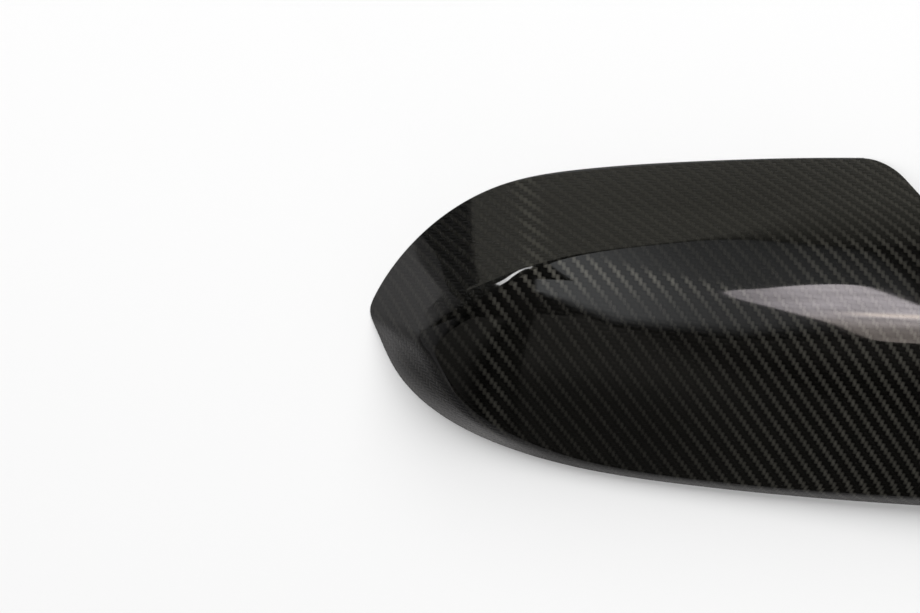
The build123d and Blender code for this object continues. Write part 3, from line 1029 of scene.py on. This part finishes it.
def coated_twill(cloth, twill):
    """Gloss clear coat over black twill, whose colour holds painted sheen and painted shade: the tows are
    painted lighter or darker by the way a face is turned and their place on the cover.
    """
    material, tree, shader = new_finish("clear_coated_twill")
    place, tow = weave(tree, twill, cloth)
    warp, weft = (*cloth.warp_colour, 1.0), (*cloth.weft_colour, 1.0)
    painted_shade_warp, painted_sheen_weft = (*cloth.painted_shade_warp_colour, 1.0), (*cloth.painted_sheen_weft_colour, 1.0)
    run = put(tree, "ShaderNodeSeparateXYZ", {0: place}).outputs[0]
    away, lit = painted_light_masks(tree, run)
    # Painted shade and sheen: on faces turned back the warp takes its darker colour and the weft its
    # lighter one.
    colour = tint(tree, tow["Warp"], tint(tree, lit, weft, painted_sheen_weft), tint(tree, away, warp, painted_shade_warp))
    light = painted_tow_light(tree, tow, run, away)
    shaded = put(tree, "ShaderNodeVectorMath", {0: colour, "Scale": light}, operation="SCALE")
    tree.links.new(shaded.outputs[0], shader.inputs["Base Color"])
    tree.links.new(between(tree, tow["Fibres"], *FIBRE_ROUGHNESS), shader.inputs["Roughness"])
    tree.links.new(ramp(tree, tow["Glint"], *COAT_PRINT), shader.inputs["Coat Weight"])
    raised = calc(tree, "MULTIPLY_ADD", tow["Fibres"], FIBRE_RELIEF, tow["Height"])
    relief(tree, shader, raised, cloth.relief)
    shader.inputs["Specular IOR Level"].default_value = CLOTH_SPECULAR
    shader.inputs["Coat Roughness"].default_value = COAT_ROUGHNESS
    shader.inputs["Coat IOR"].default_value = COAT_IOR
    return material


def inside_laminate(cloth, twill):
    """The bare inner face: dull resin over the same cloth."""
    material, tree, shader = new_finish("inside_laminate")
    place, tow = weave(tree, twill, cloth)
    pooled = grain(tree, place, RESIN_DETAIL, RESIN_SCALE)
    shown = calc(tree, "MULTIPLY", tow["Warp"], between(tree, pooled, *RESIN_SHOWN))
    tree.links.new(tint(tree, shown, *RESIN_COLOURS), shader.inputs["Base Color"])
    tree.links.new(between(tree, pooled, *RESIN_ROUGHNESS), shader.inputs["Roughness"])
    relief(tree, shader, between(tree, pooled, tow["Height"], RESIN_LEVEL), cloth.relief)
    return material


def grained(name, scale, detail, colours, roughness, depth):
    """A dull finish whose fine grain changes its colour, roughness and height."""
    material, tree, shader = new_finish(name)
    place = put(tree, "ShaderNodeTexCoord").outputs["Object"]
    fine = put(tree, "ShaderNodeGroup", {
        "Place": place, "Scale": scale, "Detail": detail, "Low Colour": colours[0],
        "High Colour": colours[1], "Low Roughness": roughness[0], "High Roughness": roughness[1]},
        node_tree=grain_group()).outputs
    tree.links.new(fine["Colour"], shader.inputs["Base Color"])
    tree.links.new(fine["Roughness"], shader.inputs["Roughness"])
    relief(tree, shader, fine["Height"], depth)
    return material


def trimmed_edge():
    """The cut edge of the laminate."""
    return grained("trimmed_edge", EDGE_SCALE, EDGE_DETAIL, EDGE_COLOURS, EDGE_ROUGHNESS, EDGE_RELIEF)


def moulded_black():
    """Black moulded plastic, which the tongues and pegs share."""
    made = bpy.data.materials.get("moulded_black")
    if made:
        return made
    return grained("moulded_black", MOULD_SCALE, MOULD_DETAIL, MOULD_COLOURS, MOULD_ROUGHNESS, MOULD_RELIEF)


def inner_ceiling(sizes):
    """Height of the inner skin over a plan point, in millimetres."""
    points, _ = skin_grid(sizes, True)
    ids, used = sewn_ids(*points.shape[:2])
    faces = [[int(v) for v in quad] for quad in grid_faces(ids)]
    tree = BVHTree.FromPolygons([Vector(p) for p in points.reshape(-1, 3)[used]], faces)

    def over(x, y):
        hit = tree.ray_cast(Vector((x, y, -CROWN_HEIGHT)), Vector((0, 0, 1)))[0]
        if hit is None:
            raise RuntimeError(f"no shell over {x:.1f}, {y:.1f} mm")
        return hit.z
    return over


def prism(build, outline, half_width, place):
    """A solid between two copies of an outline, put in place point by point."""
    ends = [[build.verts.new(place(side, a, z)) for a, z in outline] for side in (-half_width, half_width)]
    count = len(outline)
    build.faces.new(ends[0])
    build.faces.new(ends[1][::-1])
    for i in range(count):
        j = (i + 1) % count
        build.faces.new((ends[0][j], ends[0][i], ends[1][i], ends[1][j]))


def near_rim_y(x):
    """Where the near rim runs at x."""
    outline = Side(False, 0.0).low(np.linspace(0, 1, CURVE_STEPS + 1))
    return float(np.interp(x, outline[:, 0], outline[:, 1]))


def tongue_mesh(x, y, heading, ceiling):
    """A snap tongue with its hook turned to +Y or -Y, and a gusset behind it, rooted in the shell."""
    shift = frame_shift()

    def place(side, a, z):
        spot_x, spot_y = x + side, y + heading * a
        if z is None:
            z = ceiling(spot_x, spot_y) + ROOTED
        return (Vector((spot_x, spot_y, z)) + Vector(shift)) * MM

    low, hook = TONGUE_CLEAR, TONGUE_THICKNESS + HOOK_DEPTH
    catch = low + HOOK_HEIGHT
    shank = ((0, low), (TONGUE_THICKNESS, low), (hook, catch - HOOK_FLAT), (hook, catch),
             (TONGUE_THICKNESS, catch), (TONGUE_THICKNESS, None), (0, None))
    brace = ((ROOTED, GUSSET_LOW), (ROOTED, None), (-GUSSET_REACH, None),
             (-GUSSET_REACH, GUSSET_LOW + GUSSET_RISE), (0, GUSSET_LOW))
    build = bmesh.new()
    prism(build, shank, TONGUE_WIDTH / 2, place)
    prism(build, brace, GUSSET_THICKNESS / 2, place)
    bmesh.ops.recalc_face_normals(build, faces=build.faces)
    bmesh.ops.bevel(build, geom=list(build.edges), offset=FEATURE_BEVEL * MM, segments=BEVEL_SEGMENTS,
                    profile=BEVEL_PROFILE, affect="EDGES", clamp_overlap=True)
    return build


def peg_mesh(x, y, ceiling):
    """A locating peg on a boss, with a flare whose heights are counted from the shell."""
    shift = Vector(frame_shift())
    boss_low = PEG_CLEAR + PEG_LENGTH
    turns = np.linspace(0, 2 * math.pi, PEG_SEGMENTS, endpoint=False)
    profile = ((PEG_RADIUS - PEG_LEAD, PEG_CLEAR), (PEG_RADIUS, PEG_CLEAR + PEG_LEAD),
               (PEG_RADIUS, boss_low - FEATURE_BEVEL), (PEG_RADIUS + FEATURE_BEVEL, boss_low),
               (BOSS_RADIUS - FEATURE_BEVEL, boss_low), (BOSS_RADIUS, boss_low + FEATURE_BEVEL),
               (BOSS_RADIUS, -BOSS_FLARE),
               (BOSS_RADIUS + FLARE_WAIST[0] * BOSS_FLARE, -FLARE_WAIST[1] * BOSS_FLARE),
               (BOSS_RADIUS + BOSS_FLARE, FLARE_ROOTED))
    build = bmesh.new()
    rings = []
    for radius, z in profile:
        ring = []
        for turn in turns:
            spot = Vector((x + radius * math.cos(turn), y + radius * math.sin(turn), z))
            if z < PEG_CLEAR:
                spot.z += ceiling(spot.x, spot.y)
            ring.append(build.verts.new((spot + shift) * MM))
        rings.append(ring)
    for first, second in zip(rings, rings[1:]):
        for i in range(PEG_SEGMENTS):
            j = (i + 1) % PEG_SEGMENTS
            build.faces.new((first[i], first[j], second[j], second[i]))
    build.faces.new(rings[0][::-1])
    build.faces.new(rings[-1])
    bmesh.ops.recalc_face_normals(build, faces=build.faces)
    return build


def put_feature(name, build, finish):
    """Turns a built tongue or peg into a piece."""
    mesh = bpy.data.meshes.new(name)
    build.to_mesh(mesh)
    build.free()
    for face in mesh.polygons:
        face.use_smooth = True
    mesh.set_sharp_from_angle(angle=SMOOTH_ANGLE)
    mesh.materials.append(finish)
    new_object(name, mesh)


class COVER_OT_shell(bpy.types.Operator):
    """Builds the clear-coated shell"""

    bl_idname = "cover.shell"
    bl_label = "Shell"

    def execute(self, context):
        cloth = context.scene.cover_cloth
        mesh = build_shell(context.scene.cover_shell)
        twill = twill_group()
        mesh.materials.append(coated_twill(cloth, twill))
        mesh.materials.append(inside_laminate(cloth, twill))
        mesh.materials.append(trimmed_edge())
        new_object("cover_shell", mesh)
        return {"FINISHED"}


class COVER_OT_tongues(bpy.types.Operator):
    """Builds the snap tongues on the hidden side"""

    bl_idname = "cover.tongues"
    bl_label = "Snap Tongues"

    def execute(self, context):
        ceiling = inner_ceiling(context.scene.cover_shell)
        finish = moulded_black()
        far_y = FAR_REACH - FAR_TONGUE_SET
        for number, x in enumerate(TONGUE_XS, 1):
            near_y = near_rim_y(x) + NEAR_TONGUE_SET
            for side, y, heading in (("far", far_y, 1), ("near", near_y, -1)):
                put_feature(f"{side}_tongue_{number}", tongue_mesh(x, y, heading, ceiling), finish)
        return {"FINISHED"}


class COVER_OT_pegs(bpy.types.Operator):
    """Builds the locating pegs on the hidden side"""

    bl_idname = "cover.pegs"
    bl_label = "Locating Pegs"

    def execute(self, context):
        ceiling = inner_ceiling(context.scene.cover_shell)
        finish = moulded_black()
        for number, x in enumerate(PEG_XS, 1):
            put_feature(f"peg_{number}", peg_mesh(x, along(RIDGE_Y, x), ceiling), finish)
        return {"FINISHED"}


def stage_mesh(name, points, finish, soft=()):
    """A flat piece of the stage. It may run on past some corners, by a step, to where its glow is gone."""
    count = len(points)
    faces = [tuple(range(count))]
    beyond = [tuple(Vector(points[i]) + Vector(step)) for i, step in soft]
    for n, ((first, _), (second, _)) in enumerate(zip(soft, soft[1:]), count):
        faces.append((second, first, n, n + 1))
    mesh = bpy.data.meshes.new(name)
    mesh.from_pydata(list(points) + beyond, [], faces)
    glow = mesh.attributes.new("glow", "FLOAT", "POINT")
    glow.data.foreach_set("value", [1.0] * count + [0.0] * len(beyond))
    mesh.materials.append(finish)
    piece = bpy.data.objects.new(name, mesh)
    bpy.context.scene.collection.objects.link(piece)
    return piece


def rounded_outline(corners, height):
    """A closed smooth outline through corners at one height."""
    corners = np.array(corners)
    before, after = np.roll(corners, 1, 0), np.roll(corners, -1, 0)
    beyond = np.roll(corners, -2, 0)
    outline = []
    for t in np.arange(OUTLINE_STEPS) / OUTLINE_STEPS:
        outline.append(corners + 0.5 * t * (after - before)
                       + 0.5 * t ** 2 * (2 * before - 5 * corners + 4 * after - beyond)
                       + 0.5 * t ** 3 * (3 * corners - before - 3 * after + beyond))
    return [(x, y, height) for x, y in np.stack(outline, 1).reshape(-1, 2).tolist()]


def tip_foot():
    """The table along the foot of the near wall from the tip on, and the steps away from the cover."""
    rim = Side(False, 0.0).low(np.linspace(0, FOOT_END, FOOT_STEPS)) + frame_shift()[:2]
    course = np.gradient(rim, axis=0)
    course /= np.linalg.norm(course, axis=1, keepdims=True)
    points = [(x * MM, y * MM, 0.0) for x, y in rim.tolist()]
    soft = [(i, (dy * FOOT_REACH, -dx * FOOT_REACH, 0.0)) for i, (dx, dy) in enumerate(course.tolist())]
    return points, soft


def fading_glow(colour, strength, fades):
    """An even glow that dies away at a card's soft edge, and along X, Y or Z to a share of its strength."""
    def glow(tree):
        edge = put(tree, "ShaderNodeAttribute", attribute_name="glow").outputs["Fac"]
        level = calc(tree, "MULTIPLY", ramp(tree, edge, 0.0, 1.0, 0.0, 1.0), strength)
        for axis, start, end, share in fades:
            place = put(tree, "ShaderNodeTexCoord").outputs["Object"]
            run = put(tree, "ShaderNodeSeparateXYZ", {0: place}).outputs[axis]
            level = calc(tree, "MULTIPLY", ramp(tree, run, start, end, 1.0, share), level)
        return (*colour, 1.0), level
    return glow


def window_glow(strength):
    """A window's glow: bluish above, warm and dimmer below, with a bright streak between."""
    def glow(tree):
        place = put(tree, "ShaderNodeTexCoord").outputs["Object"]
        spot = put(tree, "ShaderNodeSeparateXYZ", {0: place}).outputs
        off = calc(tree, "ABSOLUTE", calc(tree, "SUBTRACT", spot[1], STREAK_Y))
        streak = calc(tree, "MULTIPLY", ramp(tree, off, 0.0, STREAK_WIDTH, 1.0, 0.0),
                      ramp(tree, spot[0], *STREAK_X, 0.0, 1.0))
        level = calc(tree, "MULTIPLY", ramp(tree, spot[1], *WINDOW_DIMMING, WINDOW_DIMMED, 1.0),
                     ramp(tree, spot[0], *WINDOW_RISE, WINDOW_LEFT * strength, strength))
        level = calc(tree, "MULTIPLY_ADD", streak, STREAK_SHARE * strength, level)
        drawn = put(tree, "ShaderNodeVectorMath", {0: place, 1: WINDOW_GRAIN}, operation="MULTIPLY")
        patchy = between(tree, grain(tree, drawn.outputs[0], WINDOW_DETAIL), *WINDOW_PATCHES)
        colour = tint(tree, ramp(tree, spot[1], *WINDOW_DIMMING, 0.0, 1.0), WINDOW_WARM, WINDOW_COOL)
        return tint(tree, streak, colour, WINDOW_WARM), calc(tree, "MULTIPLY", level, patchy)
    return glow


def card(name, points, glow, soft=(), clear=False):
    """A glowing card that only gloss shows. A clear one adds its glow to what lies behind it."""
    finish, tree, shader = new_finish(name)
    tree.nodes.remove(shader)
    colour, strength = glow(tree)
    surface = put(tree, "ShaderNodeEmission", {"Color": colour, "Strength": strength}).outputs[0]
    if clear:
        through = put(tree, "ShaderNodeBsdfTransparent").outputs[0]
        surface = put(tree, "ShaderNodeAddShader", {0: surface, 1: through}).outputs[0]
    tree.links.new(surface, tree.nodes["Material Output"].inputs["Surface"])
    piece = stage_mesh(name, points, finish, soft)
    for ray in HIDDEN_RAYS:
        setattr(piece, f"visible_{ray}", False)


def put_room(stage):
    """The room that the gloss shows, as cards: window, ceiling, walls, strip lamp and lit table."""
    card("window", rounded_outline(WINDOW_CARD, WINDOW_HEIGHT), window_glow(stage.window_light))
    ceiling = [(x, y, CEILING_HEIGHT) for x, y in CEILING_CARD]
    card("ceiling", ceiling, fading_glow(CEILING_TINT, stage.ceiling_light, CEILING_FADES), CEILING_SOFT)
    for name, points, colour, strength, fades in (
            ("front_wall", FRONT_WALL, WALL_TINT, stage.front_light, FRONT_FADES),
            ("upper_wall", UPPER_WALL, WALL_TINT, UPPER_SHARE * stage.front_light, UPPER_FADES),
            ("side_wall", SIDE_WALL, WALL_TINT, stage.front_light, SIDE_FADES),
            ("back_strip", BACK_STRIP, PLAIN_TINT, stage.strip_light, STRIP_FADES),
            ("back_wall", BACK_WALL, BACK_TINT, stage.back_light, BACK_FADES),
            ("dark_gap", DARK_GAP, PLAIN_TINT, stage.gap_light, ()),
            ("left_wall", LEFT_WALL, LEFT_TINT, stage.left_light, LEFT_FADES),
            ("near_wall", NEAR_WALL, LEFT_TINT, stage.near_light, NEAR_FADES),
            ("near_table", NEAR_TABLE, LEFT_TINT, stage.left_light, TABLE_FADES),
            ("table_end", TABLE_END, BACK_TINT, stage.back_light, END_FADES)):
        card(name, points, fading_glow(colour, strength, fades))
    foot, foot_soft = tip_foot()
    foot_glow = fading_glow(LEFT_TINT, FOOT_SHARE * stage.left_light, FOOT_FADES)
    card("tip_foot", foot, foot_glow, foot_soft, clear=True)


def studio_world(stage):
    """Soft light from all round, and a dim room in the gloss."""
    world = bpy.data.worlds.new("studio")
    world.use_nodes = True
    tree = world.node_tree
    in_gloss = put(tree, "ShaderNodeLightPath").outputs["Is Glossy Ray"]
    light = tint(tree, in_gloss, (*stage.ambient_colour, 1.0), (*stage.room_colour, 1.0))
    tree.links.new(light, tree.nodes["Background"].inputs["Color"])
    return world


def white_table(stage):
    """A white table top."""
    finish, _, shader = new_finish("white_table")
    shader.inputs["Base Color"].default_value = (*stage.floor_colour, 1.0)
    shader.inputs["Roughness"].default_value = TABLE_ROUGHNESS
    shader.inputs["Specular IOR Level"].default_value = TABLE_SPECULAR
    return finish


def put_camera(scene):
    """The photograph's camera: nearly straight above, leaning a little to the tip's side."""
    right = Vector((math.cos(CAMERA_TILT_X), 0, math.sin(CAMERA_TILT_X)))
    back = Vector((-math.sin(CAMERA_TILT_X) * math.cos(CAMERA_TILT_Y), -math.sin(CAMERA_TILT_Y),
                   math.cos(CAMERA_TILT_X) * math.cos(CAMERA_TILT_Y)))
    data = bpy.data.cameras.new("camera")
    data.sensor_width = SENSOR_WIDTH
    data.lens = SENSOR_WIDTH * FOCAL_PIXELS / IMAGE_WIDTH
    camera = bpy.data.objects.new("camera", data)
    place = Vector((CAMERA_AIM[0], CAMERA_AIM[1], 0)) * MM + back * (CAMERA_DISTANCE * MM)
    turn = Matrix((right, back.cross(right), back)).transposed().to_4x4()
    camera.matrix_world = Matrix.Translation(place) @ turn
    scene.collection.objects.link(camera)
    scene.camera = camera


def put_lamp(name, place, size, power):
    """A soft square lamp, aimed at the cover, that lights without showing in the gloss."""
    data = bpy.data.lights.new(name, "AREA")
    data.energy = power
    data.size = size
    lamp = bpy.data.objects.new(name, data)
    lamp.location = place
    lamp.rotation_euler = (Vector(LAMP_AIM) - Vector(place)).to_track_quat("-Z", "Y").to_euler()
    lamp.visible_glossy = False
    lamp.visible_camera = False
    bpy.context.scene.collection.objects.link(lamp)


class COVER_OT_stage(bpy.types.Operator):
    """Builds the table, the lights and the camera"""

    bl_idname = "cover.stage"
    bl_label = "Stage"

    def execute(self, context):
        scene = context.scene
        stage = scene.cover_stage
        put_camera(scene)
        half = FLOOR_SIZE / 2
        corners = ((-half, -half), (half, -half), (half, half), (-half, half))
        floor = [(x, y, -FLOOR_DROP) for x, y in corners]
        stage_mesh("table", floor, white_table(stage))
        put_lamp("back_lamp", BACK_LAMP, BACK_LAMP_SIZE, stage.back_power)
        put_lamp("overhead", OVERHEAD, OVERHEAD_SIZE, stage.overhead_power)
        put_room(stage)
        scene.world = studio_world(stage)
        scene.view_settings.view_transform = "Standard"
        return {"FINISHED"}


class COVER_PT_panel(bpy.types.Panel):
    """Lists the pieces of the cover"""

    bl_idname = "COVER_PT_panel"
    bl_label = "Wing Mirror Cover"
    bl_space_type = "VIEW_3D"
    bl_region_type = "UI"
    bl_category = "Cover"

    def draw(self, context):
        layout = self.layout
        for operator, groups in PANEL_ROWS:
            layout.operator(operator)
            for group in groups:
                for name in SETTINGS[group].__annotations__:
                    layout.prop(getattr(context.scene, group), name)


SETTINGS = {"cover_shell": ShellSettings, "cover_cloth": ClothSettings, "cover_stage": StageSettings}
OPERATORS = (COVER_OT_shell, COVER_OT_tongues, COVER_OT_pegs, COVER_OT_stage)
PANEL_ROWS = (("cover.shell", ("cover_shell", "cover_cloth")), ("cover.tongues", ()), ("cover.pegs", ()),
              ("cover.stage", ("cover_stage",)))
CLASSES = (*SETTINGS.values(), *OPERATORS, COVER_PT_panel)


def register():
    """Registers the classes and gives each scene its settings."""
    for item in CLASSES:
        bpy.utils.register_class(item)
    for name, group in SETTINGS.items():
        setattr(bpy.types.Scene, name, PointerProperty(type=group))


def unregister():
    """Takes the settings and the classes away again."""
    for name in SETTINGS:
        delattr(bpy.types.Scene, name)
    for item in reversed(CLASSES):
        bpy.utils.unregister_class(item)


def main():
    """Builds the pieces and the stage in order."""
    register()
    bpy.ops.cover.shell()
    bpy.ops.cover.tongues()
    bpy.ops.cover.pegs()
    bpy.ops.cover.stage()


if __name__ == "__main__":
    main()
